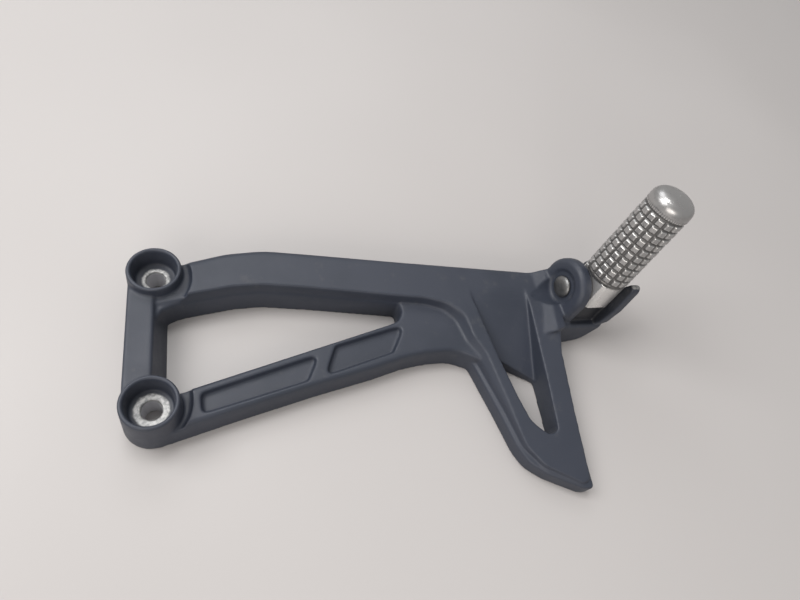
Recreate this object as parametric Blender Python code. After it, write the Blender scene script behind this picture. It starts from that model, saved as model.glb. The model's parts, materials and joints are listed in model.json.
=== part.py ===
"""Pillion foot peg and its hanger bracket, built lying flat on its two mounting faces.

Frame: origin at the middle of the assembly's footprint on the mounting face, +X along the
bracket to the clevis, +Y from the lower boss to the upper boss, +Z away from the mounting
face. Metres. The helpers below work in millimetres from the lower boss axis.
"""

import math

import bmesh
import bpy
from mathutils import Matrix, Vector

MM = 0.001
TINY = 0.00005

# ---- driving dimensions, millimetres ------------------------------------------------
BOLT_SPACING = 70.0
BOSS_HEIGHT = 25.0
BOSS_RIM_RADIUS = 13.0
BOSS_FOOT_RADIUS = 14.2
BOSS_LIP = 1.3
SEAT_HEIGHT = 14.0
SEAT_RADIUS = 9.6
BOLT_HOLE_RADIUS = 4.5

BAR_TOP = 22.0
STEP_TOP = 15.0
LEFT_BAR_TOP = 20.0
ARM_TOP = 15.5
RELIEF_DEPTH = 3.4
POCKET_DEPTH = 3.2
HEEL_FLANGE_TOP = 10.0
HEEL_TIP_TOP = 12.0
SLOPE_START = 40.0

PIN_RADIUS = 4.0
PIN_HEAD_RADIUS = 6.4
PIN_HEAD_HEIGHT = 2.8
EAR_RADIUS = 17.0
NEAR_EAR = 6.5
GAP = 19.0
FAR_EAR = 8.0
CAVITY_RADIUS = 13.6
CLEARANCE = 0.3
BALL_RADIUS = 2.0
BALL_AT = -10.1

PEG_OFFSET = 6.4
PEG_ROOT_RADIUS = 12.9
PEG_TIP_RADIUS = 12.3
PEG_FLAT = 10.6
PEG_KNURL_START = 20.0
PEG_LENGTH = 79.7
DOME_HEIGHT = 7.85
RIM_HEIGHT = 3.85
TONGUE_RADIUS = 12.0
SHOULDER = 18.6
TEETH_AROUND = 14
TEETH_ALONG = 10
TOOTH_DEPTH = 1.1

# Clevis frame: near ear face at the pin, pin direction, peg direction, fold direction.
CLEVIS_AT = Vector((226.4, 50.4, 30.0))
PEG_DIRECTION = Vector((0.163, 0.160, 0.974)).normalized()
PIN_DIRECTION = Vector((0.980, 0.088, -0.178))
PIN_DIRECTION = (PIN_DIRECTION - PEG_DIRECTION * PIN_DIRECTION.dot(PEG_DIRECTION)).normalized()
FOLD_DIRECTION = PEG_DIRECTION.cross(PIN_DIRECTION).normalized()
GAP_MIDDLE = NEAR_EAR + GAP / 2.0

CASTING_BLACK = (0.018, 0.019, 0.022, 1.0)
ALUMINIUM = (0.62, 0.62, 0.61, 1.0)
STEEL = (0.45, 0.45, 0.46, 1.0)
ZINC = (0.55, 0.56, 0.55, 1.0)


# ---- scene helpers ------------------------------------------------------------------
def clear_scene():
    for item in list(bpy.data.objects):
        bpy.data.objects.remove(item, do_unlink=True)


def make_material(name, colour, metallic, roughness):
    material = bpy.data.materials.new(name)
    material.use_nodes = True
    shader = material.node_tree.nodes["Principled BSDF"]
    shader.inputs["Base Color"].default_value = colour
    shader.inputs["Metallic"].default_value = metallic
    shader.inputs["Roughness"].default_value = roughness
    return material


def object_from_bmesh(name, bm, smooth_angle=None):
    bmesh.ops.remove_doubles(bm, verts=bm.verts, dist=TINY)
    bmesh.ops.recalc_face_normals(bm, faces=bm.faces)
    mesh = bpy.data.meshes.new(name)
    bm.to_mesh(mesh)
    bm.free()
    item = bpy.data.objects.new(name, mesh)
    bpy.context.scene.collection.objects.link(item)
    if smooth_angle is not None:
        mesh.shade_smooth()
        mesh.set_sharp_from_angle(angle=math.radians(smooth_angle))
    return item


def combine(target, tool, operation):
    """Applies one exact Boolean and removes the tool."""
    modifier = target.modifiers.new(operation, "BOOLEAN")
    modifier.operation = operation
    modifier.solver = "EXACT"
    modifier.object = tool
    depsgraph = bpy.context.evaluated_depsgraph_get()
    result = bpy.data.meshes.new_from_object(target.evaluated_get(depsgraph))
    target.modifiers.clear()
    target.data = result
    bpy.data.objects.remove(tool, do_unlink=True)
    return target


def join(target, *tools):
    for tool in tools:
        combine(target, tool, "UNION")
    return target


def cut(target, *tools):
    for tool in tools:
        combine(target, tool, "DIFFERENCE")
    return target


def finish(item, name, material, smooth_angle):
    """Cleans the mesh, moves it to metres and gives it its name and material."""
    bm = bmesh.new()
    bm.from_mesh(item.data)
    bmesh.ops.remove_doubles(bm, verts=bm.verts, dist=0.01)
    bmesh.ops.dissolve_degenerate(bm, edges=bm.edges, dist=0.005)
    bmesh.ops.triangulate(bm, faces=bm.faces)
    bmesh.ops.recalc_face_normals(bm, faces=bm.faces)
    bmesh.ops.scale(bm, vec=(MM, MM, MM), verts=bm.verts)
    mesh = bpy.data.meshes.new(name)
    bm.to_mesh(mesh)
    bm.free()
    mesh.materials.append(material)
    mesh.shade_smooth()
    mesh.set_sharp_from_angle(angle=math.radians(smooth_angle))
    item.data = mesh
    item.name = name
    return item


# ---- outline helpers (all in millimetres) -------------------------------------------
def rounded(points, radius, steps=4):
    """Rounds each corner of a closed outline; radius is one number or one per corner."""
    count = len(points)
    radii = radius if isinstance(radius, (list, tuple)) else [radius] * count
    result = []
    for index, point in enumerate(points):
        here = Vector(point[:2])
        before = Vector(points[index - 1][:2]) - here
        after = Vector(points[(index + 1) % count][:2]) - here
        half = before.angle(after) / 2.0
        if radii[index] <= 0.0 or half > math.radians(86):
            result.append((here.x, here.y))
            continue
        reach = min(radii[index] / math.tan(half), 0.45 * before.length, 0.45 * after.length)
        start = here + before.normalized() * reach
        end = here + after.normalized() * reach
        for step in range(steps + 1):
            t = step / steps
            spot = start.lerp(here, t).lerp(here.lerp(end, t), t)
            result.append((spot.x, spot.y))
    return result


def signed_area(points):
    total = 0.0
    for index, point in enumerate(points):
        other = points[(index + 1) % len(points)]
        total += point[0] * other[1] - other[0] * point[1]
    return total / 2.0


def inset_outline(points, amounts):
    """Moves each corner inward by its own amount along the corner's mitre."""
    count = len(points)
    sign = 1.0 if signed_area(points) > 0.0 else -1.0
    result = []
    for index, point in enumerate(points):
        here = Vector(point)
        first = (here - Vector(points[index - 1])).normalized()
        second = (Vector(points[(index + 1) % count]) - here).normalized()
        normal = Vector((-first.y - second.y, first.x + second.x)) * sign
        normal.normalize()
        edge = Vector((-second.y, second.x)) * sign
        stretch = 1.0 / max(normal.dot(edge), 0.5)
        moved = here + normal * amounts[index] * stretch
        result.append((moved.x, moved.y))
    return result


def prism(points, rings, frame=None):
    """Stacks insets of an outline into one closed solid.

    rings holds (height, inset) pairs, or (height, inset function of x and y).
    """
    bm = bmesh.new()
    loops = []
    for height, inset in rings:
        amounts = [inset(*point) if callable(inset) else inset for point in points]
        outline = inset_outline(points, amounts)
        loops.append([bm.verts.new((x, y, height)) for x, y in outline])
    for lower, upper in zip(loops[:-1], loops[1:]):
        for index in range(len(lower)):
            after = (index + 1) % len(lower)
            bm.faces.new((lower[index], lower[after], upper[after], upper[index]))
    bm.faces.new(loops[0])
    bm.faces.new(loops[-1])
    if frame is not None:
        bm.transform(frame)
    return object_from_bmesh("tool", bm)


def turned(profile, steps=48, frame=None):
    """Revolves (radius, height) points about Z into a closed solid."""
    bm = bmesh.new()
    loops = []
    for radius, height in profile:
        if radius <= 0.0:
            loops.append([bm.verts.new((0.0, 0.0, height))])
            continue
        loop = []
        for step in range(steps):
            angle = 2.0 * math.pi * step / steps
            loop.append(bm.verts.new((radius * math.cos(angle), radius * math.sin(angle), height)))
        loops.append(loop)
    pairs = list(zip(loops[:-1], loops[1:]))
    for lower, upper in pairs:
        for step in range(steps):
            after = (step + 1) % steps
            corners = [lower[step % len(lower)], lower[after % len(lower)]]
            corners += [upper[after % len(upper)], upper[step % len(upper)]]
            unique = []
            for corner in corners:
                if corner not in unique:
                    unique.append(corner)
            bm.faces.new(unique)
    for loop in (loops[0], loops[-1]):
        if len(loop) > 1:
            bm.faces.new(loop)
    if frame is not None:
        bm.transform(frame)
    return object_from_bmesh("tool", bm)


def hull(points, frame=None):
    bm = bmesh.new()
    for point in points:
        bm.verts.new(point)
    made = bmesh.ops.convex_hull(bm, input=bm.verts)
    spare = [item for item in made["geom_interior"] if isinstance(item, bmesh.types.BMVert)]
    bmesh.ops.delete(bm, geom=spare, context="VERTS")
    if frame is not None:
        bm.transform(frame)
    return object_from_bmesh("tool", bm)


def loft(sections):
    """Skins a row of closed sections with the same number of corners."""
    bm = bmesh.new()
    loops = [[bm.verts.new(corner) for corner in section] for section in sections]
    for lower, upper in zip(loops[:-1], loops[1:]):
        for index in range(len(lower)):
            after = (index + 1) % len(lower)
            bm.faces.new((lower[index], lower[after], upper[after], upper[index]))
    bm.faces.new(loops[0])
    bm.faces.new(loops[-1])
    return object_from_bmesh("tool", bm)


def box(low, high, frame=None):
    corners = []
    for x in (low[0], high[0]):
        for y in (low[1], high[1]):
            for z in (low[2], high[2]):
                corners.append((x, y, z))
    return hull(corners, frame)


def arc(centre, radius, start, end, steps):
    """Points on a circle, angles in degrees."""
    result = []
    for step in range(steps + 1):
        angle = math.radians(start + (end - start) * step / steps)
        result.append((centre[0] + radius * math.cos(angle), centre[1] + radius * math.sin(angle)))
    return result


# ---- clevis frames ------------------------------------------------------------------
def clevis_point(u, w, q):
    return CLEVIS_AT + PIN_DIRECTION * u + FOLD_DIRECTION * w + PEG_DIRECTION * q


def clevis_frame():
    """Local x = fold direction, y = peg direction, z = pin direction."""
    frame = Matrix.Identity(4)
    for column, axis in enumerate((FOLD_DIRECTION, PEG_DIRECTION, PIN_DIRECTION)):
        for row in range(3):
            frame[row][column] = axis[row]
    for row in range(3):
        frame[row][3] = CLEVIS_AT[row]
    return frame


def peg_frame():
    """Local x = pin direction, y = fold direction, z = peg direction, at the pin centre."""
    frame = Matrix.Identity(4)
    for column, axis in enumerate((PIN_DIRECTION, FOLD_DIRECTION, PEG_DIRECTION)):
        for row in range(3):
            frame[row][column] = axis[row]
    middle = clevis_point(GAP_MIDDLE, 0.0, 0.0)
    for row in range(3):
        frame[row][3] = middle[row]
    return frame


# ---- the casting --------------------------------------------------------------------
def boss(y):
    place = Matrix.Translation((0.0, y, 0.0))
    profile = [
        (BOSS_FOOT_RADIUS, -6.0),
        (BOSS_FOOT_RADIUS, 0.0),
        (BOSS_RIM_RADIUS, BOSS_HEIGHT - 0.6),
        (BOSS_RIM_RADIUS - 0.5, BOSS_HEIGHT),
    ]
    return turned(profile, 48, place)


def boss_bore(y):
    place = Matrix.Translation((0.0, y, 0.0))
    mouth = BOSS_RIM_RADIUS - 0.5 - BOSS_LIP
    profile = [
        (BOLT_HOLE_RADIUS, -9.0),
        (BOLT_HOLE_RADIUS, SEAT_HEIGHT),
        (SEAT_RADIUS, SEAT_HEIGHT),
        (SEAT_RADIUS + 0.5, SEAT_HEIGHT + 1.0),
        (mouth - 0.5, BOSS_HEIGHT - 1.5),
        (mouth + 0.1, BOSS_HEIGHT + 0.01),
        (mouth + 0.1, BOSS_HEIGHT + 3.0),
    ]
    return turned(profile, 48, place)


def left_bar():
    """The bar between the bosses; its inner wall leans out to a wider foot."""
    outline = [(-13.6, 0.0), (4.8, 0.0), (4.8, BOLT_SPACING), (-13.4, BOLT_SPACING)]

    def wall(outer, inner):
        return lambda x, y: inner if x > 0.0 else outer

    rings = [(-5.0, 0.0), (0.0, 0.0), (LEFT_BAR_TOP - 1.2, wall(0.9, 4.5))]
    rings += [(LEFT_BAR_TOP - 0.3, wall(1.4, 5.0)), (LEFT_BAR_TOP, wall(2.2, 5.8))]
    return prism(outline, rings)


def raised_outline():
    """The high member: upper bar from the upper boss, then down the V to its tip."""
    top = [(-1.6, 76.0), (13.0, 77.6), (34.0, 83.4), (54.0, 85.6), (80.0, 82.9)]
    top += [(131.0, 77.2), (213.0, 68.6), (222.0, 68.4), (230.0, 70.5)]
    right = [(231.0, 60.0), (226.0, 36.0), (219.8, 13.0), (217.0, -23.0), (215.2, -57.0)]
    tip = [(210.6, -59.8), (189.6, -47.8), (181.4, -37.0)]
    left = [(175.8, -16.4), (166.8, 14.0), (160.8, 24.0), (157.6, 37.5), (152.4, 44.3)]
    inner = [(142.0, 48.5), (126.0, 50.4), (77.0, 57.0), (52.5, 59.6), (38.0, 58.8)]
    inner += [(15.0, 54.6), (-1.6, 51.2)]
    radii = [0, 10, 40, 60, 60, 60, 12, 14, 0]
    radii += [0, 10, 20, 0, 4]
    radii += [5, 12, 14]
    radii += [0, 20, 14, 10, 12]
    radii += [20, 20, 30, 30, 20, 10, 0]
    return rounded(top + right + tip + left + inner, radii, 3)


def member_inset(crown, joint, bevel, side):
    """Chooses the inset by which side of the member a corner belongs to."""

    def pick(x, y):
        if y > 64.0 and x < 216.0:
            return crown
        if x > 205.0:
            return side
        if y < -34.0:
            return side
        share = min(max((48.0 - y) / 14.0, 0.0), 1.0)
        return joint + share * (bevel - joint)

    return pick


def raised_member():
    points = raised_outline()
    rings = [
        (-4.0, member_inset(0.0, -0.4, 0.4, 0.0)),
        (STEP_TOP - 4.5, member_inset(0.4, 0.1, 0.8, 0.3)),
        (STEP_TOP - 0.4, member_inset(0.6, 0.4, 1.2, 0.7)),
        (STEP_TOP, member_inset(0.7, 0.9, 1.5, 0.8)),
        (BAR_TOP - 3.6, member_inset(1.2, 1.3, 3.8, 1.2)),
        (BAR_TOP - 1.2, member_inset(2.4, 1.6, 5.2, 1.5)),
        (BAR_TOP - 0.3, member_inset(4.0, 1.9, 6.0, 1.9)),
        (BAR_TOP, member_inset(5.2, 2.5, 6.6, 2.5)),
    ]
    member = prism(points, rings)
    drop = (BAR_TOP - HEEL_TIP_TOP) / (SLOPE_START + 60.0)
    corners = []
    for y in (SLOPE_START - 130.0, SLOPE_START + 20.0):
        for x in (140.0, 250.0):
            corners.append((x, y, BAR_TOP + drop * (y - SLOPE_START)))
            corners.append((x, y, 60.0))
    shave = hull(corners)
    return cut(member, shave)


def boss_relief(y, side, floor):
    """The step down round a boss where an arm meets it; side is the way the arm leans."""
    points = arc((-4.5, y + 3.0 * side), 22.3, -70.0, 70.0, 20) + [(-2.0, y + 24.0), (-2.0, y - 24.0)]
    rings = [(floor, 1.6), (floor + 0.5, 0.7), (floor + 2.0, 0.1), (60.0, 0.0)]
    return prism(points, rings)


def corner_web():
    """The rounded inner corner below the upper boss."""
    outline = [(-4.0, 43.0), (1.0, 43.4), (2.0, 47.0), (4.2, 50.2), (8.6, 52.6), (13.0, 53.9)]
    outline += [(13.0, 60.0), (-4.0, 60.0)]
    return prism(outline, [(-1.5, 0.0), (0.0, 0.0), (15.6, 0.1), (16.9, 0.5), (17.6, 1.2)])


def lower_plate():
    """The lower arm, widening into the plate beside the raised member."""
    outline = [(-3.0, -14.0), (6.0, -13.1), (36.0, -5.2), (75.0, 4.4), (108.0, 11.6)]
    outline += [(125.0, 16.2), (138.0, 18.2), (154.0, 18.6), (168.5, 12.5), (173.2, 25.0)]
    outline += [(170.6, 57.7), (125.9, 58.3), (126.4, 51.8), (128.0, 46.4), (125.2, 40.2)]
    outline += [(118.6, 38.0), (13.6, 9.4), (-3.0, 5.0)]
    radii = [0, 10, 0, 0, 20, 30, 30, 20, 0, 0, 0, 0, 2, 5, 6, 4, 10, 0]
    points = rounded(outline, radii, 3)

    def edge(outer, inner):
        return lambda x, y: inner if y > 8.0 + 0.2 * x or x > 168.0 else outer

    rings = [
        (-3.0, 0.0),
        (0.0, 0.0),
        (ARM_TOP - 4.0, edge(1.0, 0.3)),
        (ARM_TOP - 1.4, edge(1.5, 0.4)),
        (ARM_TOP - 0.4, edge(2.2, 0.7)),
        (ARM_TOP, edge(3.2, 1.2)),
    ]
    return prism(points, rings)


def arm_pockets():
    first = [(20.8, 6.2), (21.3, -4.6), (72.5, 8.0), (79.9, 23.0)]
    second = [(80.3, 9.8), (119.3, 20.7), (129.3, 37.8), (87.9, 27.0)]
    tools = []
    for outline in (first, second):
        points = rounded(outline, [3.2, 3.2, 4.0, 3.4], 4)
        rings = [
            (ARM_TOP - POCKET_DEPTH, 1.3),
            (ARM_TOP - POCKET_DEPTH + 0.5, 0.7),
            (ARM_TOP - 0.5, 0.3),
            (ARM_TOP + 0.02, 0.0),
            (ARM_TOP + 3.0, 0.0),
        ]
        tools.append(prism(points, rings))
    return tools


def heel_flange():
    """The low flange round the foot of the V."""
    outline = [(160.0, 18.6), (165.4, 13.2), (173.8, -16.6), (178.6, -35.5), (183.2, -44.8)]
    outline += [(192.6, -52.0), (210.6, -61.3), (217.0, -62.3), (218.2, -23.0), (220.8, 13.0)]
    outline += [(226.0, 34.0), (228.0, 56.0), (166.0, 56.0)]
    points = rounded(outline, [6, 8, 0, 20, 16, 16, 9, 4, 0, 10, 0, 0, 0], 4)
    return prism(points, [(-2.0, 0.0), (HEEL_FLANGE_TOP - 0.9, 0.2), (HEEL_FLANGE_TOP, 1.0)])


def heel_scoop():
    """The sloping web between the two legs of the V, fading out into the bar's top face."""
    stations = [
        (58.0, BAR_TOP + 0.4, 168.6, 206.0),
        (53.0, BAR_TOP - 0.3, 169.4, 205.8),
        (48.0, BAR_TOP - 1.4, 170.3, 205.6),
        (43.0, BAR_TOP - 3.0, 171.3, 205.5),
        (38.0, BAR_TOP - 4.7, 172.2, 205.4),
        (27.0, BAR_TOP - 8.8, 174.6, 205.1),
        (14.0, BAR_TOP - 13.6, 177.4, 204.7),
        (-1.3, BAR_TOP - 19.2, 181.6, 204.3),
    ]
    sections = []
    for y, floor, left, right in stations:
        sections.append([(left, y, floor), (right, y, floor), (right, y, 40.0), (left, y, 40.0)])
    return loft(sections)


def heel_window():
    outline = [(176.6, 18.4), (204.5, 2.2), (203.0, -31.0), (196.6, -32.2), (188.4, -24.0)]
    outline += [(183.6, -9.0)]
    points = rounded(outline, [0, 4, 5, 6, 12, 20], 4)

    def edge(inner):
        return lambda x, y: 0.0 if x > 200.0 or y > 15.0 else inner

    rings = [(-7.0, 0.9), (2.0, edge(0.8)), (8.0, edge(0.4)), (14.0, edge(0.0)), (40.0, edge(-0.3))]
    return prism(points, rings)


def ear_outline(low):
    points = arc((0.0, 0.0), EAR_RADIUS, 180.0, 0.0, 20)
    return points + [(EAR_RADIUS, low), (-15.5, low)]


def clevis():
    """Two ears with a bowl-shaped foot and a stop ledge between them."""
    frame = clevis_frame()
    soft = 1.2
    near = prism(
        ear_outline(-34.0),
        [(-1.3, 2.4), (-0.9, 1.6), (0.3, 0.4), (soft, 0.0), (NEAR_EAR - 0.6, 0.0), (NEAR_EAR, 0.5)],
        frame,
    )
    root = NEAR_EAR + GAP
    wall = root + FAR_EAR
    horn = arc((0.0, 0.0), EAR_RADIUS, 90.0, 0.0, 10)
    horn += [(EAR_RADIUS, -28.0), (-8.0, -28.0), (-16.0, -21.0), (-20.6, -10.0), (-22.0, 2.0)]
    horn += [(-21.5, 19.0)]
    horn += [(-20.0, 22.0), (-17.5, 22.0), (-16.0, 19.0), (-13.0, 12.0)]
    far = prism(
        rounded(horn, 1.5, 2),
        [(root, 0.4), (root + 0.6, 0.0), (wall - 2.0, 0.0), (wall, 1.6)],
        frame,
    )
    bowl = [(-6.0, -36.0), (14.0, -36.0), (26.0, -28.0), (wall - 0.7, -18.0)]
    bowl += [(wall - 0.7, -14.5), (-6.0, -14.5)]
    floor = prism(
        rounded(bowl, [0, 10, 12, 4, 0, 0], 4),
        [(-19.4, 1.6), (-18.6, 0.4), (-17.4, 0.0), (15.3, 0.0), (16.3, 1.2)],
        foot_frame(),
    )
    ledge = box((-14.8, -18.0, NEAR_EAR - 1.3), (-13.2, -CLEARANCE, root + 1.3), frame)
    cradle = box((-14.1, -19.0, NEAR_EAR - 1.7), (15.0, -7.0, root + 1.7), frame)
    body = join(near, far, floor, cradle, ledge)
    sweep = arc((0.0, 0.0), CAVITY_RADIUS, 196.0, 325.0, 24) + [(22.0, -6.0), (22.0, 30.0), (-11.8, 30.0)]
    clear = prism(sweep, [(NEAR_EAR + 0.013, 0.0), (root - 0.011, 0.0)], frame)
    return cut(body, clear)


def foot_frame():
    """Local x = pin direction, y = peg direction, z = fold direction."""
    frame = Matrix.Identity(4)
    for column, axis in enumerate((PIN_DIRECTION, PEG_DIRECTION, FOLD_DIRECTION)):
        for row in range(3):
            frame[row][column] = axis[row]
    for row in range(3):
        frame[row][3] = CLEVIS_AT[row]
    return frame


def ear_gusset():
    """The rising facet between the bar's top face and the near ear."""
    foot = [(211.6, 65.8, BAR_TOP - 0.7), (208.2, 24.0, BAR_TOP - 1.9)]
    crest = [(221.5, 65.4, BAR_TOP + 3.0), (217.8, 24.6, BAR_TOP + 1.6)]
    back = [(224.0, 66.4, BAR_TOP + 3.2), (224.6, 27.4, BAR_TOP + 1.0)]
    under = [(x, y, 12.0) for x, y, _ in foot + back]
    return hull(foot + crest + back + under)


def pin_spotface():
    """The clear space the pin head sits in."""
    return turned([(11.4, -16.0), (10.6, -1.6), (9.9, -0.4), (9.0, 0.0)], 32, clevis_frame())


def hanger_casting(material):
    body = raised_member()
    join(body, heel_flange())
    cut(body, heel_window(), heel_scoop())
    join(body, clevis(), ear_gusset())
    cut(body, pin_spotface())
    join(body, lower_plate())
    cut(body, boss_relief(0.0, 1.0, ARM_TOP - RELIEF_DEPTH))
    cut(body, boss_relief(BOLT_SPACING, -1.0, BAR_TOP - RELIEF_DEPTH))
    join(body, left_bar(), corner_web(), boss(0.0), boss(BOLT_SPACING))
    cut(body, *arm_pockets())
    cut(body, boss_bore(0.0), boss_bore(BOLT_SPACING))
    below = box((-60.0, -120.0, -60.0), (330.0, 140.0, 0.0))
    cut(body, below)
    pin_hole = turned(
        [(PIN_RADIUS + CLEARANCE, -3.0), (PIN_RADIUS + CLEARANCE, NEAR_EAR + GAP + FAR_EAR + 4.0)],
        32,
        clevis_frame(),
    )
    cut(body, pin_hole)
    return finish(body, "hanger_casting", material, 32)


# ---- the peg ------------------------------------------------------------------------
def peg_radius(height):
    span = PEG_LENGTH - DOME_HEIGHT - PEG_KNURL_START
    return PEG_ROOT_RADIUS + (PEG_TIP_RADIUS - PEG_ROOT_RADIUS) * (height - PEG_KNURL_START) / span


def peg_barrel():
    """The toothed barrel as one turned skin whose radius dips in the grooves, with a domed end."""
    around_share = [(0.0, 1.0), (0.2, 1.0), (0.31, 0.0), (0.89, 0.0)]
    along_share = [(0.0, 1.0), (0.167, 1.0), (0.26, 0.0), (0.906, 0.0)]
    angles = []
    for tooth in range(TEETH_AROUND):
        for share, dip in around_share:
            angles.append((2.0 * math.pi * (tooth + share) / TEETH_AROUND, dip))
    rim = PEG_LENGTH - DOME_HEIGHT
    toothed = rim - RIM_HEIGHT
    pitch = (toothed - PEG_KNURL_START) / TEETH_ALONG
    rings = [(SHOULDER, 1.2, False), (SHOULDER + 0.3, 1.0, False), (PEG_KNURL_START - 0.4, 1.0, False)]
    for row in range(TEETH_ALONG):
        for share, dip in along_share:
            rings.append((PEG_KNURL_START + (row + share) * pitch, dip, True))
    rings += [(toothed, 1.0, True), (toothed + 0.8, 1.0, False), (toothed + 1.2, 0.1, False)]
    skin = [(height, peg_radius(height), dip, cut_up) for height, dip, cut_up in rings]
    for step in range(8):
        angle = math.radians(11.0 * step)
        height = rim + DOME_HEIGHT * math.sin(angle) ** 0.8
        skin.append((height, PEG_TIP_RADIUS * math.cos(angle) ** 0.8, 0.1, False))
    bm = bmesh.new()
    loops = []
    for height, radius, dip, cut_up in skin:
        loop = []
        for angle, groove in angles:
            depth = TOOTH_DEPTH * (max(dip, groove) if cut_up else dip)
            reach = radius - depth
            loop.append(bm.verts.new((reach * math.cos(angle), reach * math.sin(angle), height)))
        loops.append(loop)
    count = len(angles)
    for lower, upper in zip(loops[:-1], loops[1:]):
        for step in range(count):
            after = (step + 1) % count
            bm.faces.new((lower[step], lower[after], upper[after], upper[step]))
    bm.faces.new(loops[0])
    bm.faces.new(loops[-1])
    bm.transform(Matrix.Translation((0.0, -PEG_OFFSET, 0.0)))
    bm.transform(peg_frame())
    return object_from_bmesh("tool", bm)


def peg_tongue():
    """Rounded eye about the pin and a flat-faced block, milled from the barrel's root."""
    half = GAP / 2.0 - CLEARANCE
    flat = PEG_OFFSET + PEG_FLAT
    frame = peg_frame() @ Matrix(((0, 0, 1, 0), (1, 0, 0, 0), (0, 1, 0, 0), (0, 0, 0, 1)))
    outline = [(-flat, 0.0), (-flat, 30.0), (12.0, 30.0), (12.0, 0.0)]
    block = prism(outline, [(-half, 0.7), (-half + 0.7, 0.0), (half - 0.7, 0.0), (half, 0.7)], frame)
    place = peg_frame() @ Matrix.Translation((0.0, -PEG_OFFSET, 0.0))
    stock = turned([(PEG_ROOT_RADIUS - 0.1, -1.0), (PEG_ROOT_RADIUS - 0.1, SHOULDER + 1.0)], 64, place)
    combine(block, stock, "INTERSECT")
    eye = prism(
        arc((0.0, 0.0), TONGUE_RADIUS, 0.0, 352.5, 47),
        [(-half, 0.6), (-half + 0.6, 0.0), (half - 0.6, 0.0), (half, 0.6)],
        frame,
    )
    return join(block, eye)


def detent_bore(radius, low, high):
    return turned([(radius, low), (radius, high)], 24, peg_frame() @ Matrix.Rotation(math.pi, 4, "X"))


def peg_body(material):
    body = peg_tongue()
    join(body, peg_barrel())
    pin_hole = turned(
        [(PIN_RADIUS + 0.1, -3.0), (PIN_RADIUS + 0.1, NEAR_EAR + GAP + FAR_EAR + 4.0)],
        32,
        clevis_frame(),
    )
    cut(body, pin_hole)
    cut(body, detent_bore(BALL_RADIUS + 0.3, 5.4, 20.0))
    return finish(body, "peg_body", material, 30)


# ---- pin, washer, clip and detent ---------------------------------------------------
def clevis_pin(material):
    end = NEAR_EAR + GAP + FAR_EAR + 5.0
    head = -CLEARANCE
    profile = [
        (0.0, head - PIN_HEAD_HEIGHT),
        (2.6, head - PIN_HEAD_HEIGHT + 0.25),
        (4.6, head - PIN_HEAD_HEIGHT + 0.9),
        (5.9, head - PIN_HEAD_HEIGHT + 1.9),
        (PIN_HEAD_RADIUS, head - 0.5),
        (PIN_HEAD_RADIUS, head),
        (PIN_RADIUS, head),
        (PIN_RADIUS, end - 3.0),
        (PIN_RADIUS - 0.9, end - 2.9),
        (PIN_RADIUS - 0.9, end - 1.7),
        (PIN_RADIUS, end - 1.6),
        (PIN_RADIUS, end - 0.6),
        (PIN_RADIUS - 0.6, end),
        (0.0, end),
    ]
    return finish(turned(profile, 32, clevis_frame()), "clevis_pin", material, 35)


def pin_washer(material):
    face = NEAR_EAR + GAP + FAR_EAR + CLEARANCE
    ring = turned([(7.2, face), (7.5, face + 0.2), (7.5, face + 0.9), (7.2, face + 1.1)], 32, clevis_frame())
    hole = turned([(PIN_RADIUS + 0.2, face - 1.0), (PIN_RADIUS + 0.2, face + 2.0)], 32, clevis_frame())
    return finish(cut(ring, hole), "pin_washer", material, 35)


def retaining_clip(material):
    """E-shaped clip snapped into the pin's groove."""
    end = NEAR_EAR + GAP + FAR_EAR + 5.0
    low = end - 2.7
    high = end - 1.9
    inner = PIN_RADIUS - 0.9 + 0.15
    outline = arc((0.0, 0.0), 6.6, 40.0, 320.0, 28) + arc((0.0, 0.0), inner, 320.0, 40.0, 24)
    clip = prism(outline, [(low, 0.0), (high, 0.0)], clevis_frame())
    return finish(clip, "retaining_clip", material, 35)


def detent_plate(material):
    """Curved spring-steel saddle under the tongue that the ball rides on."""
    half = GAP / 2.0 - 1.5
    frame = clevis_frame() @ Matrix.Translation((0.0, 0.0, GAP_MIDDLE))
    outer = CAVITY_RADIUS - CLEARANCE
    inner = outer - 0.8
    outline = arc((0.0, 0.0), outer, 224.0, 316.0, 20) + arc((0.0, 0.0), inner, 316.0, 224.0, 20)
    return finish(prism(outline, [(-half, 0.0), (half, 0.0)], frame), "detent_plate", material, 35)


def detent_ball(material):
    bm = bmesh.new()
    bmesh.ops.create_uvsphere(bm, u_segments=20, v_segments=12, radius=BALL_RADIUS)
    bm.transform(peg_frame() @ Matrix.Translation((0.0, 0.0, BALL_AT)))
    return finish(object_from_bmesh("tool", bm), "detent_ball", material, 60)


def detent_spring(material):
    """A short coil in the tongue's blind bore, between the bore end and the ball."""
    turns = 2.5
    wire = 0.22
    radius = 1.75
    low = -8.25
    high = -5.8
    steps = 36
    bm = bmesh.new()
    loops = []
    sides = 6
    for step in range(steps + 1):
        t = step / steps
        angle = 2.0 * math.pi * turns * t
        centre = Vector((radius * math.cos(angle), radius * math.sin(angle), low + (high - low) * t))
        outward = Vector((math.cos(angle), math.sin(angle), 0.0))
        loop = []
        for side in range(sides):
            turn = 2.0 * math.pi * side / sides
            spot = centre + outward * wire * math.cos(turn) + Vector((0, 0, wire * math.sin(turn)))
            loop.append(bm.verts.new(spot))
        loops.append(loop)
    for lower, upper in zip(loops[:-1], loops[1:]):
        for side in range(sides):
            after = (side + 1) % sides
            bm.faces.new((lower[side], lower[after], upper[after], upper[side]))
    bm.faces.new(loops[0])
    bm.faces.new(loops[-1])
    bm.transform(peg_frame())
    return finish(object_from_bmesh("tool", bm), "detent_spring", material, 60)


def turn_about_pin(item):
    """Puts the object's origin on the pin axis, where it turns."""
    centre = clevis_point(GAP_MIDDLE, 0.0, 0.0) * MM
    item.data.transform(Matrix.Translation(-centre))
    item.location = centre


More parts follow.
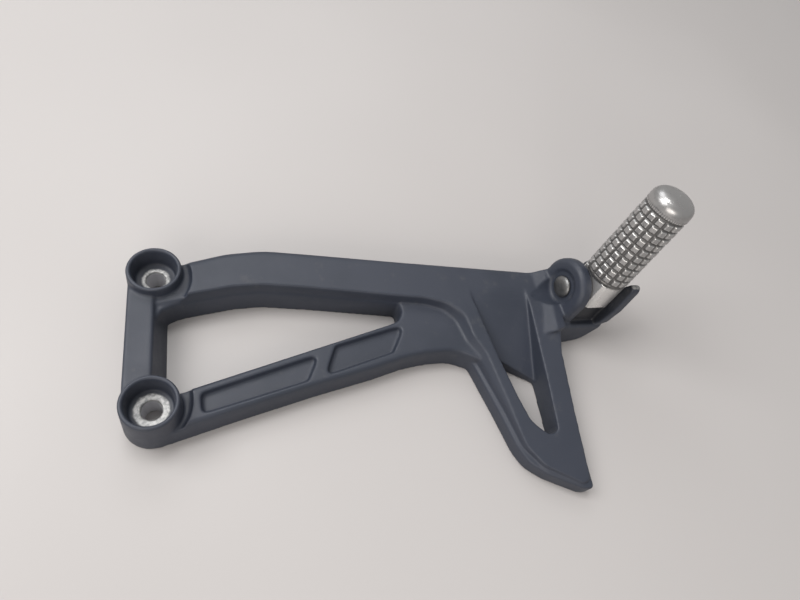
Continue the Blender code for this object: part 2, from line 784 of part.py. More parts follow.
def centre_on_base(items):
    """Moves the assembly so the origin is the middle of its footprint on the mounting face."""
    low = [1.0, 1.0, 1.0]
    high = [-1.0, -1.0, -1.0]
    for item in items:
        for vertex in item.data.vertices:
            for axis in range(3):
                spot = vertex.co[axis] + item.location[axis]
                low[axis] = min(low[axis], spot)
                high[axis] = max(high[axis], spot)
    shift = Vector((-(low[0] + high[0]) / 2.0, -(low[1] + high[1]) / 2.0, -low[2]))
    for item in items:
        if item.location.length > 0.0:
            item.location = item.location + shift
        else:
            item.data.transform(Matrix.Translation(shift))


def main():
    clear_scene()
    black = make_material("satin_black_coat", CASTING_BLACK, 0.0, 0.45)
    cast = make_material("peg_aluminium", ALUMINIUM, 1.0, 0.35)
    pin = make_material("pin_steel", STEEL, 1.0, 0.35)
    washer = make_material("washer_zinc", ZINC, 1.0, 0.4)
    clip = make_material("clip_steel", STEEL, 1.0, 0.3)
    plate = make_material("plate_steel", STEEL, 1.0, 0.4)
    ball = make_material("ball_steel", STEEL, 1.0, 0.15)
    spring = make_material("spring_steel", STEEL, 1.0, 0.3)
    fixed = [hanger_casting(black), clevis_pin(pin), pin_washer(washer)]
    fixed += [retaining_clip(clip), detent_plate(plate)]
    turning = [peg_body(cast), detent_ball(ball), detent_spring(spring)]
    for item in turning:
        turn_about_pin(item)
    centre_on_base(fixed + turning)


main()
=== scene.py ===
"""Folding passenger foot peg on its hanger bracket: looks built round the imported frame."""

import json
import math
import random

import bmesh
import bpy
from mathutils import Matrix, Vector


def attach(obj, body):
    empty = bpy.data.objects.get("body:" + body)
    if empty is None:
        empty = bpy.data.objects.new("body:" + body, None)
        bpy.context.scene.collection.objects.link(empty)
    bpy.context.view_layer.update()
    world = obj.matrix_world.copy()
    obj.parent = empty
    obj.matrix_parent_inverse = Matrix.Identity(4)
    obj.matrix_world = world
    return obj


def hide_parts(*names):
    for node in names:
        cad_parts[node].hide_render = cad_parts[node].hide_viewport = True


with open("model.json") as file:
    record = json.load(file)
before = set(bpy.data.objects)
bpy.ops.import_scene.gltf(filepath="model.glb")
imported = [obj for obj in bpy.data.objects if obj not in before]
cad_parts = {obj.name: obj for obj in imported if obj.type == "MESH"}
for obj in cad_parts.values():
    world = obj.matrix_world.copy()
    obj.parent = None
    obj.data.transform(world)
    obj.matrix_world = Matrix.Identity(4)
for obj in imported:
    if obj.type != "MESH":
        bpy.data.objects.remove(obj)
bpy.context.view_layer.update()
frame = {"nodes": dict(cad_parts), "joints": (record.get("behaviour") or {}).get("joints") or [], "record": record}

MM = 0.001
SEED = 11

# ---- sizes, millimetres -------------------------------------------------------------
# The casting and the peg's root: the remesh that rounds the CAD shape's edges.
CAST_VOXEL = 0.55
CAST_ROUNDS = 13
CAST_KEPT_SHARE = 0.25
PEG_VOXEL = 0.3
PEG_ROUNDS = 4
PEG_KEPT_SHARE = 0.4
WELD = 0.01

# The peg: heights are from the pin along the peg, depths are below the grip's skin.
GRIP_START = 18.6
GRIP_CUT = GRIP_START - 0.2
TOOTH_START = 20.0
TOOTH_END = 68.0
RIM = 71.85
DOME = 7.85
ROOT_RADIUS = 12.9
TIP_RADIUS = 12.3
GRIP_OFFSET = 6.4
TOOTH_ROWS = 10
TOOTH_PITCH = (TOOTH_END - TOOTH_START) / TOOTH_ROWS
TEETH_AROUND = 14
STEPS_PER_TOOTH = 14
AROUND = TEETH_AROUND * STEPS_PER_TOOTH
TOOTH_DEPTH = 1.1
TOOTH_WEAR = (-0.10, 0.08)
# Shares of one pitch: the groove's floor ends, the tooth's top starts, the top ends.
ROW_PROFILE = (0.12, 0.29, 0.88)
COLUMN_PROFILE = (0.15, 0.33, 0.87)
CHAMFER_END = GRIP_START + 0.1
CHAMFER_DEPTH = 1.2
COLLAR_END = TOOTH_START - 0.4
COLLAR_DEPTH = 1.02
LAST_GROOVE_END = TOOTH_END + 0.9
RIBS_PER_TOOTH = 4
RIB_DEPTH = 0.48
DOME_STEPS = 24
DOME_STEP_DEGREES = 3.7
DOME_SQUARENESS = 0.8

# The pin's stack: heights are along the pin from the hinge's centre.
HALF_STACK = 16.0
NEAR_FACE = -HALF_STACK
FAR_FACE = 33.5 - HALF_STACK
FACE_GAP = 0.3
TURNED_STEPS = 72
TURNED_SHARP_ANGLE = 38
PIN_RADIUS = 4.0
PIN_END = FAR_FACE + 5.0
GROOVE_RADIUS = PIN_RADIUS - 0.9
HEAD_FLAT = 1.1
HEAD_ROUND = 5.3
HEAD_BULGE = 2.25
HEAD_EDGE = 0.55
HEAD_SWEEP = 80.0
HEAD_STEPS = 12
WASHER_BORE = 4.25
WASHER_RADIUS = 7.5
WASHER_THICKNESS = 1.1
CLIP_LOW = PIN_END - 2.7
CLIP_HIGH = PIN_END - 1.9
CLIP_OUTER = 6.6
CLIP_INNER = GROOVE_RADIUS + 0.15
CLIP_RELIEF = 5.0
CLIP_MOUTH = 40.0
CLIP_SWEEP = 280.0
CLIP_OUTER_STEPS = 56
CLIP_INNER_STEPS = 112
CLIP_FINGERS = (48.0, 180.0, 312.0)
FINGER_HALF = 13.0
FINGER_FADE = 22.0
CLIP_BEVEL = 0.12
CLIP_BEVEL_ANGLE = 50
CLIP_SHARP_ANGLE = 40

# ---- places taken from the frame ----------------------------------------------------
MOUNTS = {mount["name"]: Vector(mount["pos_m"]) for mount in frame["record"]["mounts"]}
BOSS_FROM_MOUNT = Vector((0.0, 9.3, 0.0)) * MM
LOWER_BOSS = MOUNTS["lower_mounting_face"] + BOSS_FROM_MOUNT
UPPER_BOSS = MOUNTS["upper_mounting_face"] - BOSS_FROM_MOUNT
SEAT_Z = MOUNTS["lower_bolt_seat"].z
HINGE = frame["joints"][0]
PIN_AT = Vector(HINGE["pos_m"])
PIN_WAY = -Vector(HINGE["axis"]).normalized()
PEG_LEAN = Vector((0.163, 0.160, 0.974)).normalized()
PEG_WAY = (PEG_LEAN - PIN_WAY * PEG_LEAN.dot(PIN_WAY)).normalized()
FOLD_WAY = PEG_WAY.cross(PIN_WAY).normalized()
HORN_END = PIN_AT + (PIN_WAY * (29.5 - HALF_STACK) - FOLD_WAY * 18.7 + PEG_WAY * 22.0) * MM
UP = Vector((0.0, 0.0, 1.0))
LEVEL = Vector((1.0, 1.0, 0.0))

# ---- colours ------------------------------------------------------------------------
COAT_TONES = ((0.025, 0.031, 0.046, 1), (0.032, 0.038, 0.055, 1))
COAT_DUST = (0.085, 0.086, 0.088, 1)
COAT_SCRATCH = (0.13, 0.13, 0.13, 1)
# Lighter coat for sharp edges: a painted highlight, not wear.
COAT_EDGE_HIGHLIGHT = (0.105, 0.108, 0.115, 1)
# Near-black painted shade for the hollow between the ears, under the peg's root.
CAVITY_PAINTED_SHADE = (0.010, 0.011, 0.014, 1)
# Light grey bore walls: partly bare metal, partly painted light lifting the shade inside the holes.
BORE_BARE_AND_PAINTED_LIGHT = (0.62, 0.62, 0.64, 1)
MACHINED_TONES = ((0.24, 0.24, 0.24, 1), (0.42, 0.42, 0.41, 1))
GRIP_TONE = (0.41, 0.407, 0.405, 1)
# Painted light: the root's bright tone stands in for light reflected off the floor and the front lamp.
ROOT_PAINTED_LIGHT = (0.86, 0.85, 0.83, 1)
# Tooth tops: partly wear, partly a painted highlight.
WORN_AND_HIGHLIGHT_TONE = (0.80, 0.795, 0.78, 1)
# Painted shade for the grooves between the grip's teeth.
PIT_PAINTED_SHADE = (0.165, 0.162, 0.16, 1)
STAIN_TONE = (0.30, 0.29, 0.28, 1)
FLOOR_TONES = ((0.470, 0.452, 0.445, 1), (0.495, 0.477, 0.470, 1))
NEUTRAL_TINT = (1.0, 1.0, 1.0)
STEEL_PATCH_SHARE = 0.62

# ---- stage: metres and watts --------------------------------------------------------
FLOOR_HALF = 3.0
CAMERA_LENS = 25.2
SENSOR_WIDTH = 36.0
NEAR_CLIP = 0.01
CAMERA_FORWARD = Vector((0.3036, 0.47, -0.8288)).normalized()
CAMERA_RIGHT = Vector((0.9523, -0.177, 0.2484))
CAMERA_FROM_BOSS = Vector((31.8, -96.7, 279.1)) * MM
WORLD_COLOUR = (1.0, 0.985, 0.975, 1.0)
WORLD_STRENGTH = 0.49
# Name, place, target, size, energy, colour.
STUDIO_LIGHTS = (
    ("key", (-0.82, 0.30, 0.95), (0.02, 0.0, 0.0), (0.70, 0.60), 9.0, (1.0, 0.99, 0.98)),
    ("top", (-0.16, 0.38, 1.15), (-0.06, 0.0, 0.0), (0.35, 0.35), 3.5, (1.0, 0.99, 0.98)),
    ("back", (-0.10, 1.10, 1.00), (0.0, 0.0, 0.0), (0.80, 0.50), 3.0, (0.97, 0.98, 1.0)),
    ("front", (-0.55, -0.95, 0.60), (0.0, 0.0, 0.0), (0.90, 0.60), 6.0, (1.0, 0.935, 0.88)),
)


# ---- small helpers ------------------------------------------------------------------
def basis(origin, x_way, y_way, z_way):
    """The matrix that puts a piece at an origin with its axes along three directions."""
    matrix = Matrix.Identity(4)
    for column, way in enumerate((x_way, y_way, z_way)):
        for row in range(3):
            matrix[row][column] = way[row]
    for row in range(3):
        matrix[row][3] = origin[row]
    return matrix


PEG_BASIS = basis(PIN_AT, PIN_WAY, FOLD_WAY, PEG_WAY) @ Matrix.Scale(MM, 4)
PIN_BASIS = basis(PIN_AT, FOLD_WAY, PEG_WAY, PIN_WAY) @ Matrix.Scale(MM, 4)


def new_object(name, bm, matrix, material, smooth=True):
    """Turns a bmesh into an object with outward faces and one material."""
    bmesh.ops.recalc_face_normals(bm, faces=bm.faces)
    bm.transform(matrix)
    mesh = bpy.data.meshes.new(name)
    bm.to_mesh(mesh)
    bm.free()
    if smooth:
        mesh.shade_smooth()
    item = bpy.data.objects.new(name, mesh)
    bpy.context.scene.collection.objects.link(item)
    mesh.materials.append(material)
    return item


def apply_modifiers(item):
    depsgraph = bpy.context.evaluated_depsgraph_get()
    mesh = bpy.data.meshes.new_from_object(item.evaluated_get(depsgraph))
    item.modifiers.clear()
    item.data = mesh
    mesh.name = item.name


def smoothstep(low, high, value):
    t = min(max((value - low) / (high - low), 0.0), 1.0)
    return t * t * (3.0 - 2.0 * t)


def on_circle(radius, angle):
    return radius * math.cos(angle), radius * math.sin(angle)


# ---- node helpers -------------------------------------------------------------------
class Nodes:
    """A short way to write a material's node tree."""

    def __init__(self, name):
        self.material = bpy.data.materials.new(name)
        self.material.use_nodes = True
        self.tree = self.material.node_tree
        self.shader = self.tree.nodes["Principled BSDF"]
        self.place = self.tree.nodes.new("ShaderNodeTexCoord").outputs["Object"]

    def link(self, source, target):
        self.tree.links.new(source, target)

    def noise(self, scale, detail=4.0, rough=0.55, stretch=None, distort=0.0):
        node = self.tree.nodes.new("ShaderNodeTexNoise")
        node.inputs["Scale"].default_value = scale
        node.inputs["Detail"].default_value = detail
        node.inputs["Roughness"].default_value = rough
        node.inputs["Distortion"].default_value = distort
        source = self.place
        if stretch is not None:
            source = self.vector("MULTIPLY", self.place, stretch)
        self.link(source, node.inputs["Vector"])
        return node.outputs["Fac"]

    def vector(self, operation, *values):
        node = self.tree.nodes.new("ShaderNodeVectorMath")
        node.operation = operation
        for socket, value in zip(node.inputs, values):
            if isinstance(value, (tuple, Vector)):
                socket.default_value = value
            else:
                self.link(value, socket)
        return node.outputs["Value" if operation in ("LENGTH", "DOT_PRODUCT") else "Vector"]

    def length(self, source):
        return self.vector("LENGTH", source)

    def along(self, source, way):
        return self.vector("DOT_PRODUCT", source, way)

    def calc(self, operation, *values):
        node = self.tree.nodes.new("ShaderNodeMath")
        node.operation = operation
        for socket, value in zip(node.inputs, values):
            if isinstance(value, (int, float)):
                socket.default_value = value
            else:
                self.link(value, socket)
        return node.outputs[0]

    def times(self, first, second):
        return self.calc("MULTIPLY", first, second)

    def ramp(self, source, low, high, out_low=0.0, out_high=1.0):
        node = self.tree.nodes.new("ShaderNodeMapRange")
        node.interpolation_type = "SMOOTHSTEP"
        node.inputs["From Min"].default_value = low
        node.inputs["From Max"].default_value = high
        node.inputs["To Min"].default_value = out_low
        node.inputs["To Max"].default_value = out_high
        self.link(source, node.inputs["Value"])
        return node.outputs["Result"]

    def mix(self, factor, first, second):
        node = self.tree.nodes.new("ShaderNodeMix")
        node.data_type = "RGBA"
        for key, value in ((0, factor), (6, first), (7, second)):
            if isinstance(value, (tuple, float, int)):
                node.inputs[key].default_value = value
            else:
                self.link(value, node.inputs[key])
        return node.outputs[2]

    def bump(self, height, strength, distance, normal=None):
        node = self.tree.nodes.new("ShaderNodeBump")
        node.inputs["Strength"].default_value = strength
        node.inputs["Distance"].default_value = distance
        self.link(height, node.inputs["Height"])
        if normal is not None:
            self.link(normal, node.inputs["Normal"])
        return node.outputs["Normal"]

    def pointiness(self):
        return self.tree.nodes.new("ShaderNodeNewGeometry").outputs["Pointiness"]

    def set(self, **values):
        for key, value in values.items():
            socket = self.shader.inputs[key.replace("_", " ")]
            if isinstance(value, (int, float, tuple)):
                socket.default_value = value
            else:
                self.link(value, socket)


# ---- masks: where on a piece a finish, painted shade or painted light changes -------
def from_seat(n, axis):
    """How far a point is from one boss's axis, and how high over its bolt seat."""
    offset = n.vector("SUBTRACT", n.place, Vector((axis.x, axis.y, SEAT_Z)))
    radius = n.length(n.vector("MULTIPLY", offset, LEVEL))
    return radius, n.along(offset, UP)


def seat_mask(n, axis, reach, strength):
    """One bolt seat: bare inside a ragged circle, only at the seat's own height."""
    radius, height = from_seat(n, axis)
    ragged = n.calc("ADD", radius, n.times(n.noise(300.0), 2.2 * MM))
    inside = n.ramp(ragged, (reach + 0.2) * MM, (reach + 1.5) * MM, 1.0, 0.0)
    level = n.ramp(n.calc("ABSOLUTE", height), 0.5 * MM, 0.9 * MM, 1.0, 0.0)
    return n.times(n.times(inside, level), strength)


def bore_mask(n, axis):
    """The wall of one bolt hole, below its seat, lightened partly as bare metal and partly as painted light
    against the hole's shade.
    """
    radius, height = from_seat(n, axis)
    inside = n.ramp(radius, 5.4 * MM, 5.9 * MM, 1.0, 0.0)
    below = n.ramp(height, -0.6 * MM, -0.2 * MM, 1.0, 0.0)
    return n.times(inside, below)


def painted_cavity_shade_mask(n):
    """Painted shade in the hollow between the ears, under the peg's root."""
    offset = n.vector("SUBTRACT", n.place, PIN_AT)
    across = n.calc("ABSOLUTE", n.along(offset, PIN_WAY))
    inner = n.ramp(across, 9.3 * MM, 10.0 * MM, 1.0, 0.0)
    level = n.ramp(n.along(offset, PEG_WAY), -15.4 * MM, -13.6 * MM)
    return n.times(n.times(inner, level), 0.9)


def horn_mask(n):
    """The bare end face of the horn beside the peg."""
    offset = n.vector("SUBTRACT", n.place, HORN_END)
    near = n.ramp(n.length(offset), 5.2 * MM, 6.2 * MM, 1.0, 0.0)
    level = n.ramp(n.along(offset, PEG_WAY), -1.2 * MM, -0.6 * MM)
    return n.times(near, level)


# ---- materials ----------------------------------------------------------------------
def coat_material():
    """Satin black powder coat, bare metal on the two bolt seats and the horn's end, with painted shade in the
    clevis hollow, painted highlights on sharp edges and lighter bore walls that are partly painted light.
    """
    n = Nodes("satin_black_coat")
    broad = n.noise(22.0, detail=3.0, rough=0.5)
    grain = n.noise(2600.0, detail=2.0, rough=0.5)
    peel = n.noise(900.0, detail=3.0, rough=0.5)
    dust = n.noise(120.0, detail=6.0, rough=0.65)
    scratch = n.noise(260.0, detail=4.0, rough=0.7, stretch=(1.0, 9.0, 3.0), distort=0.6)
    turning = n.noise(700.0, detail=3.0, rough=0.6)
    coat = n.mix(n.ramp(broad, 0.35, 0.65), *COAT_TONES)
    coat = n.mix(n.ramp(dust, 0.56, 0.78, 0.0, 0.35), coat, COAT_DUST)
    coat = n.mix(n.ramp(scratch, 0.70, 0.76, 0.0, 0.35), coat, COAT_SCRATCH)
    # Painted highlight: sharp edges are lightened where they would catch light, broken up by the dust noise.
    edge = n.times(n.ramp(n.pointiness(), 0.53, 0.60, 0.0, 0.10), n.ramp(dust, 0.35, 0.65))
    coat = n.mix(edge, coat, COAT_EDGE_HIGHLIGHT)
    # Painted shade: the hollow between the ears is painted near-black.
    coat = n.mix(painted_cavity_shade_mask(n), coat, CAVITY_PAINTED_SHADE)
    # Bore walls painted light grey: partly bare metal, partly painted light against the holes' shade.
    bores = n.calc("MAXIMUM", bore_mask(n, LOWER_BOSS), bore_mask(n, UPPER_BOSS))
    coat = n.mix(bores, coat, BORE_BARE_AND_PAINTED_LIGHT)
    lower_seat = seat_mask(n, LOWER_BOSS, reach=8.1, strength=0.85)
    upper_seat = seat_mask(n, UPPER_BOSS, reach=6.9, strength=0.9)
    bare = n.calc("MAXIMUM", n.calc("MAXIMUM", lower_seat, upper_seat), horn_mask(n))
    metal = n.mix(n.ramp(turning, 0.35, 0.65), *MACHINED_TONES)
    n.set(Base_Color=n.mix(bare, coat, metal), Metallic=n.times(bare, 0.85))
    rough = n.ramp(dust, 0.3, 0.75, 0.46, 0.56)
    n.set(Roughness=n.calc("SUBTRACT", rough, n.times(bare, 0.06)))
    n.set(Normal=n.bump(grain, 0.18, 0.12 * MM, n.bump(peel, 0.10, 0.4 * MM)))
    return n.material


def aluminium_material():
    """Bare cast aluminium: root painted brighter as painted light, tooth tops lighter from wear and a painted
    highlight, and pits painted darker as painted shade and duller.
    """
    n = Nodes("cast_aluminium")
    pores = n.noise(1500.0, detail=4.0, rough=0.6)
    stain = n.noise(240.0, detail=5.0, rough=0.65)
    tops_wear_and_highlight = n.ramp(n.pointiness(), 0.51, 0.58)
    offset = n.vector("SUBTRACT", n.place, PIN_AT - FOLD_WAY * GRIP_OFFSET * MM)
    along = n.along(offset, PEG_WAY)
    across = n.along(offset, PIN_WAY)
    over = n.along(offset, FOLD_WAY)
    radius = n.calc("SQRT", n.calc("ADD", n.times(across, across), n.times(over, over)))
    skin = n.ramp(along, TOOTH_START * MM, RIM * MM, ROOT_RADIUS * MM, TIP_RADIUS * MM)
    deep = n.ramp(n.calc("SUBTRACT", skin, radius), 0.10 * MM, 1.0 * MM)
    below_rim = n.ramp(along, (RIM - 0.45) * MM, RIM * MM, 1.0, 0.0)
    on_grip = n.times(n.ramp(along, 18.3 * MM, 18.9 * MM), below_rim)
    pit_shade_and_dullness = n.times(deep, on_grip)
    # Painted light: the root below the grip is painted brighter, as if lit by the floor and the front lamp.
    root = n.ramp(along, 17.4 * MM, 18.4 * MM, 1.0, 0.0)
    metal = n.mix(root, GRIP_TONE, ROOT_PAINTED_LIGHT)
    # Tooth tops painted lighter: partly wear, partly a painted highlight on the edges.
    metal = n.mix(n.times(tops_wear_and_highlight, 0.8), metal, WORN_AND_HIGHLIGHT_TONE)
    # Painted shade: the grooves between the teeth are painted darker (and made rougher below).
    metal = n.mix(pit_shade_and_dullness, metal, PIT_PAINTED_SHADE)
    metal = n.mix(n.ramp(stain, 0.5, 0.8, 0.0, 0.30), metal, STAIN_TONE)
    n.set(Base_Color=metal, Metallic=0.92)
    rough = n.calc("SUBTRACT", n.ramp(stain, 0.3, 0.8, 0.26, 0.42), n.times(tops_wear_and_highlight, 0.08))
    n.set(Roughness=n.calc("ADD", rough, n.times(pit_shade_and_dullness, 0.2)))
    n.set(Normal=n.bump(pores, 0.16, 0.15 * MM, n.bump(stain, 0.12, 0.4 * MM)))
    return n.material


def steel_material(name, tone, roughness, tint=NEUTRAL_TINT):
    """Plain steel of one tone, with broad darker patches and a fine grain."""
    n = Nodes(name)
    broad = n.noise(150.0, detail=4.0, rough=0.6)
    fine = n.noise(2200.0, detail=3.0, rough=0.6)
    light = tuple(tone * value for value in tint) + (1.0,)
    dark = tuple(STEEL_PATCH_SHARE * tone * value for value in tint) + (1.0,)
    n.set(Base_Color=n.mix(n.ramp(broad, 0.3, 0.72), light, dark), Metallic=1.0)
    n.set(Roughness=n.ramp(fine, 0.3, 0.7, roughness - 0.06, roughness + 0.08))
    n.set(Normal=n.bump(fine, 0.10, 0.1 * MM))
    return n.material


def floor_material():
    n = Nodes("pale_floor")
    broad = n.noise(3.0, detail=2.0, rough=0.5)
    n.set(Base_Color=n.mix(n.ramp(broad, 0.3, 0.7), *FLOOR_TONES))
    n.set(Roughness=0.34, Specular_IOR_Level=0.22)
    return n.material


# ---- the casting --------------------------------------------------------------------
def soften(name, mesh, voxel, rounds, kept_share, material):
    """Remeshes a sharp CAD shape and relaxes it, so that every edge gets a cast radius."""
    item = bpy.data.objects.new(name, mesh)
    bpy.context.scene.collection.objects.link(item)
    item.data.materials.clear()
    item.data.materials.append(material)
    remesh = item.modifiers.new("remesh", "REMESH")
    remesh.mode = "VOXEL"
    remesh.voxel_size = voxel * MM
    remesh.use_smooth_shade = True
    relax = item.modifiers.new("relax", "SMOOTH")
    relax.factor = 0.5
    relax.iterations = rounds
    thin = item.modifiers.new("thin", "DECIMATE")
    thin.ratio = kept_share
    apply_modifiers(item)
    item.data.shade_smooth()
    return item


def hanger(material):
    mesh = frame["nodes"]["hanger_casting"].data.copy()
    item = soften("bracket_casting", mesh, CAST_VOXEL, CAST_ROUNDS, CAST_KEPT_SHARE, material)
    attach(item, "hanger")
    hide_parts("hanger_casting")


# ---- the peg ------------------------------------------------------------------------
def groove(share, floor_to, top_from, top_to):
    """Depth from 0 (tooth top) to 1 (groove bottom) across one pitch, wrapping at its ends."""
    rise = smoothstep(floor_to, top_from, share)
    fall = smoothstep(top_to, 1.0, share)
    return 1.0 - rise + fall


def grip_skin():
    """The height and radius of every ring of the grip, before its teeth and ribs are cut."""
    heights = [GRIP_START - 1.0, GRIP_START, GRIP_START + 0.15, GRIP_START + 0.4]
    heights += [TOOTH_START - 0.6, TOOTH_START - 0.3]
    steps = TOOTH_ROWS * STEPS_PER_TOOTH
    heights += [TOOTH_START + (TOOTH_END - TOOTH_START) * step / steps for step in range(steps + 1)]
    heights += [TOOTH_END + value for value in (0.3, 0.6, 0.8, 1.0, 1.2, 1.5, 2.0, 2.6, 3.1, 3.5)]
    skin = []
    for height in heights:
        taper = (height - TOOTH_START) / (RIM - TOOTH_START)
        skin.append((height, ROOT_RADIUS + (TIP_RADIUS - ROOT_RADIUS) * taper))
    for step in range(DOME_STEPS):
        angle = math.radians(DOME_STEP_DEGREES * step)
        radius = TIP_RADIUS * math.cos(angle) ** DOME_SQUARENESS
        skin.append((RIM + DOME * math.sin(angle) ** DOME_SQUARENESS, radius))
    return skin


def tooth_depth(height, step, worn):
    """Depth among the teeth, each of which is worn down by its own small amount."""
    row = (height - TOOTH_START) / TOOTH_PITCH
    column = step / STEPS_PER_TOOTH
    cut = max(groove(row % 1.0, *ROW_PROFILE), groove(column % 1.0, *COLUMN_PROFILE))
    lift = worn[min(int(row), TOOTH_ROWS - 1)][int(column) % TEETH_AROUND]
    return TOOTH_DEPTH * cut - lift * (1.0 - cut)


def rim_depth(height, angle):
    """Depth in the ribbed rim between the last groove and the dome."""
    ribs = 0.5 - 0.5 * math.cos(angle * RIBS_PER_TOOTH * TEETH_AROUND)
    fade = smoothstep(LAST_GROOVE_END, TOOTH_END + 1.4, height)
    fade *= 1.0 - smoothstep(RIM - 1.2, RIM - 0.3, height)
    depth = TOOTH_DEPTH * (1.0 - smoothstep(TOOTH_END + 0.8, TOOTH_END + 1.5, height))
    return depth + RIB_DEPTH * ribs * fade


def grip_depth(height, step, angle, worn):
    """How far the grip lies below its skin, from its lower chamfer up to the plain dome."""
    if height < CHAMFER_END:
        return CHAMFER_DEPTH
    if height < COLLAR_END:
        return COLLAR_DEPTH
    if height <= TOOTH_END + 0.001:
        return tooth_depth(height, step, worn)
    if height < LAST_GROOVE_END:
        return TOOTH_DEPTH
    if height < RIM:
        return rim_depth(height, angle)
    return 0.0


def grip(material):
    """The toothed barrel with its ribbed rim and domed end, finely divided."""
    random.seed(SEED)
    worn = [[random.uniform(*TOOTH_WEAR) for _ in range(TEETH_AROUND)] for _ in range(TOOTH_ROWS)]
    bm = bmesh.new()
    loops = []
    for height, radius in grip_skin():
        loop = []
        for step in range(AROUND):
            angle = 2.0 * math.pi * step / AROUND
            x, y = on_circle(radius - grip_depth(height, step, angle, worn), angle)
            loop.append(bm.verts.new((x, y - GRIP_OFFSET, height)))
        loops.append(loop)
    for lower, upper in zip(loops[:-1], loops[1:]):
        for step in range(AROUND):
            after = (step + 1) % AROUND
            bm.faces.new((lower[step], lower[after], upper[after], upper[step]))
    bm.faces.new(loops[0])
    bm.faces.new(loops[-1])
    return new_object("grip", bm, PEG_BASIS, material)


def peg(material):
    """The root with its eye and flats comes from the CAD shape; the grip is made afresh."""
    bm = bmesh.new()
    bm.from_mesh(frame["nodes"]["peg_body"].data)
    bmesh.ops.remove_doubles(bm, verts=bm.verts, dist=WELD * MM)
    cut_at = PIN_AT + PEG_WAY * GRIP_CUT * MM
    geometry = list(bm.verts) + list(bm.edges) + list(bm.faces)
    bmesh.ops.bisect_plane(bm, geom=geometry, plane_co=cut_at, plane_no=PEG_WAY, clear_outer=True)
    bmesh.ops.holes_fill(bm, edges=[edge for edge in bm.edges if edge.is_boundary])
    mesh = bpy.data.meshes.new("peg_root")
    bm.to_mesh(mesh)
    bm.free()
    root = soften("peg_root", mesh, PEG_VOXEL, PEG_ROUNDS, PEG_KEPT_SHARE, material)
    top = grip(material)
    bm = bmesh.new()
    bm.from_mesh(root.data)
    bm.from_mesh(top.data)
    item = new_object("peg_casting", bm, Matrix.Identity(4), material)
    bpy.data.objects.remove(root)
    bpy.data.objects.remove(top)
    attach(item, "peg")
    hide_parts("peg_body")


# ---- pin, washer and clip -----------------------------------------------------------
def turned(name, profile, material):
    """Revolves (radius, height) points about the pin; the first and last may sit on the axis."""
    bm = bmesh.new()
    angles = [2.0 * math.pi * step / TURNED_STEPS for step in range(TURNED_STEPS)]
    loops = []
    for radius, height in profile:
        if radius > 0.0:
            loops.append([bm.verts.new((*on_circle(radius, angle), height)) for angle in angles])
        else:
            loops.append([bm.verts.new((0.0, 0.0, height))])
    pairs = list(zip(loops[:-1], loops[1:]))
    if profile[0][0] > 0.0:
        pairs.append((loops[-1], loops[0]))
    for lower, upper in pairs:
        for step in range(TURNED_STEPS):
            after = (step + 1) % TURNED_STEPS
            corners = [lower[step % len(lower)], lower[after % len(lower)]]
            corners += [upper[after % len(upper)], upper[step % len(upper)]]
            bm.faces.new(list(dict.fromkeys(corners)))
    item = new_object(name, bm, PIN_BASIS, material)
    item.data.set_sharp_from_angle(angle=math.radians(TURNED_SHARP_ANGLE))
    return item


def pin(material):
    """Domed head at the near ear, groove for the clip and a rounded end past the far ear."""
    head = NEAR_FACE - FACE_GAP
    rim = HEAD_FLAT + HEAD_ROUND
    profile = [(0.0, head - HEAD_EDGE - HEAD_BULGE - 0.01)]
    for step in range(HEAD_STEPS + 1):
        angle = math.radians(HEAD_SWEEP - HEAD_SWEEP * step / HEAD_STEPS)
        across, out = on_circle(1.0, angle)
        profile.append((HEAD_FLAT + HEAD_ROUND * across, head - HEAD_EDGE - HEAD_BULGE * out))
    profile += [(rim, head - 0.15), (rim - 0.1, head), (PIN_RADIUS, head)]
    profile += [(PIN_RADIUS, PIN_END - 3.0), (GROOVE_RADIUS, PIN_END - 2.9)]
    profile += [(GROOVE_RADIUS, PIN_END - 1.7), (PIN_RADIUS, PIN_END - 1.6)]
    profile += [(PIN_RADIUS, PIN_END - 0.7), (PIN_RADIUS - 0.25, PIN_END - 0.25)]
    profile += [(PIN_RADIUS - 0.7, PIN_END), (0.0, PIN_END)]
    item = turned("pin_with_domed_head", profile, material)
    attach(item, "hanger")
    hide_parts("clevis_pin")


def washer(material):
    """Flat washer on the far ear, its edges slightly rounded."""
    near = FAR_FACE + FACE_GAP
    far = near + WASHER_THICKNESS
    outline = [(WASHER_BORE, near + 0.12), (WASHER_BORE + 0.1, near)]
    outline += [(WASHER_RADIUS - 0.2, near), (WASHER_RADIUS, near + 0.15), (WASHER_RADIUS, far - 0.2)]
    outline += [(WASHER_RADIUS - 0.12, far - 0.05), (WASHER_RADIUS - 0.3, far)]
    outline += [(WASHER_BORE + 0.15, far), (WASHER_BORE, far - 0.12)]
    item = turned("pin_washer_turned", outline, material)
    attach(item, "hanger")
    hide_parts("pin_washer")


def clip_outline():
    """The outer edge one way round, then back along the three inner fingers."""
    outline = []
    for step in range(CLIP_OUTER_STEPS + 1):
        degrees = CLIP_MOUTH + CLIP_SWEEP * step / CLIP_OUTER_STEPS
        outline.append(on_circle(CLIP_OUTER, math.radians(degrees)))
    for step in range(CLIP_INNER_STEPS + 1):
        degrees = CLIP_MOUTH + CLIP_SWEEP - CLIP_SWEEP * step / CLIP_INNER_STEPS
        nearest = min(abs(degrees - finger) for finger in CLIP_FINGERS)
        opened = smoothstep(FINGER_HALF, FINGER_FADE, nearest)
        reach = CLIP_INNER + (CLIP_RELIEF - CLIP_INNER) * opened
        outline.append(on_circle(reach, math.radians(degrees)))
    return outline


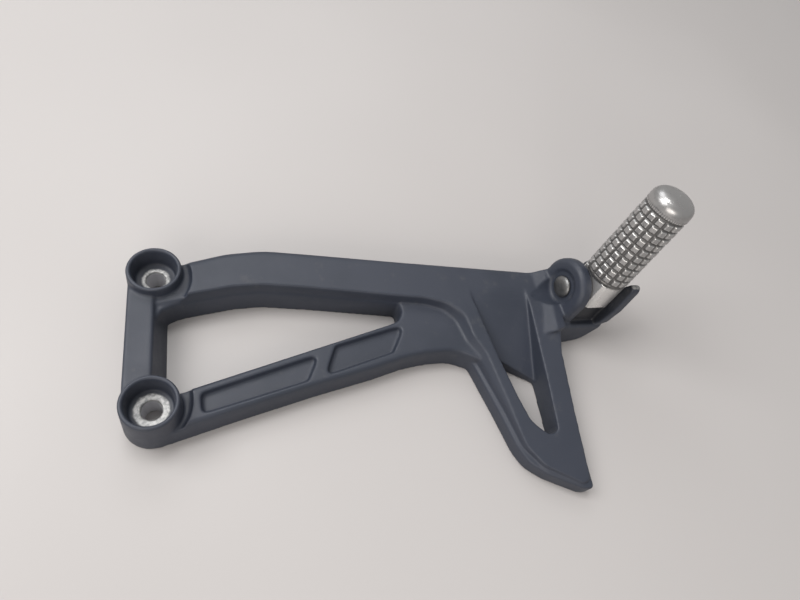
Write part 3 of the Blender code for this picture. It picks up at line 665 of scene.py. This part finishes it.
def clip(material):
    """E-shaped clip with three inner fingers and a rounded edge."""
    outline = clip_outline()
    bm = bmesh.new()
    bottom = [bm.verts.new((x, y, CLIP_LOW)) for x, y in outline]
    top = [bm.verts.new((x, y, CLIP_HIGH)) for x, y in outline]
    for index in range(len(outline)):
        after = (index + 1) % len(outline)
        bm.faces.new((bottom[index], bottom[after], top[after], top[index]))
    bm.faces.new(bottom)
    bm.faces.new(top)
    item = new_object("retaining_clip_stamped", bm, PIN_BASIS, material, smooth=False)
    bevel = item.modifiers.new("rounded_edge", "BEVEL")
    bevel.width = CLIP_BEVEL * MM
    bevel.segments = 2
    bevel.limit_method = "ANGLE"
    bevel.angle_limit = math.radians(CLIP_BEVEL_ANGLE)
    apply_modifiers(item)
    item.data.shade_smooth()
    item.data.set_sharp_from_angle(angle=math.radians(CLIP_SHARP_ANGLE))
    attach(item, "hanger")
    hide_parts("retaining_clip")


def dress_hidden_parts():
    """The detent under the peg's root keeps its CAD shape and gets its real finishes."""
    finishes = {
        "detent_plate": steel_material("spring_steel_plate", 0.42, 0.38, (1.0, 0.98, 0.94)),
        "detent_ball": steel_material("polished_ball", 0.62, 0.16),
        "detent_spring": steel_material("spring_wire", 0.36, 0.32, (1.0, 0.97, 0.92)),
    }
    for name, material in finishes.items():
        mesh = frame["nodes"][name].data
        mesh.materials.clear()
        mesh.materials.append(material)


# ---- floor, camera and lights -------------------------------------------------------
def floor():
    bm = bmesh.new()
    corners = [(-1, -1), (1, -1), (1, 1), (-1, 1)]
    bm.faces.new([bm.verts.new((x * FLOOR_HALF, y * FLOOR_HALF, 0.0)) for x, y in corners])
    item = new_object("floor", bm, Matrix.Identity(4), floor_material(), smooth=False)


def camera():
    data = bpy.data.cameras.new("camera")
    data.lens = CAMERA_LENS
    data.sensor_width = SENSOR_WIDTH
    data.clip_start = NEAR_CLIP
    item = bpy.data.objects.new("camera", data)
    bpy.context.scene.collection.objects.link(item)
    forward = CAMERA_FORWARD
    right = (CAMERA_RIGHT - forward * CAMERA_RIGHT.dot(forward)).normalized()
    eye = LOWER_BOSS + CAMERA_FROM_BOSS
    item.matrix_world = basis(eye, right, right.cross(forward), -forward)
    bpy.context.scene.camera = item


def area_light(name, place, target, size, energy, colour):
    data = bpy.data.lights.new(name, "AREA")
    data.shape = "RECTANGLE"
    data.size, data.size_y = size
    data.energy = energy
    data.color = colour
    item = bpy.data.objects.new(name, data)
    bpy.context.scene.collection.objects.link(item)
    item.location = place
    item.rotation_euler = (Vector(target) - Vector(place)).to_track_quat("-Z", "Y").to_euler()


def lights():
    world = bpy.data.worlds.new("studio")
    world.use_nodes = True
    background = world.node_tree.nodes["Background"]
    background.inputs["Color"].default_value = WORLD_COLOUR
    background.inputs["Strength"].default_value = WORLD_STRENGTH
    bpy.context.scene.world = world
    for light in STUDIO_LIGHTS:
        area_light(*light)


def main():
    camera()
    lights()
    floor()
    hanger(coat_material())
    peg(aluminium_material())
    pin(steel_material("pin_zinc", 0.25, 0.42))
    washer(steel_material("washer_zinc", 0.52, 0.30, (1.0, 0.99, 0.95)))
    clip(steel_material("clip_spring_steel", 0.34, 0.30))
    dress_hidden_parts()
    bpy.context.scene.view_settings.view_transform = "Standard"


main()
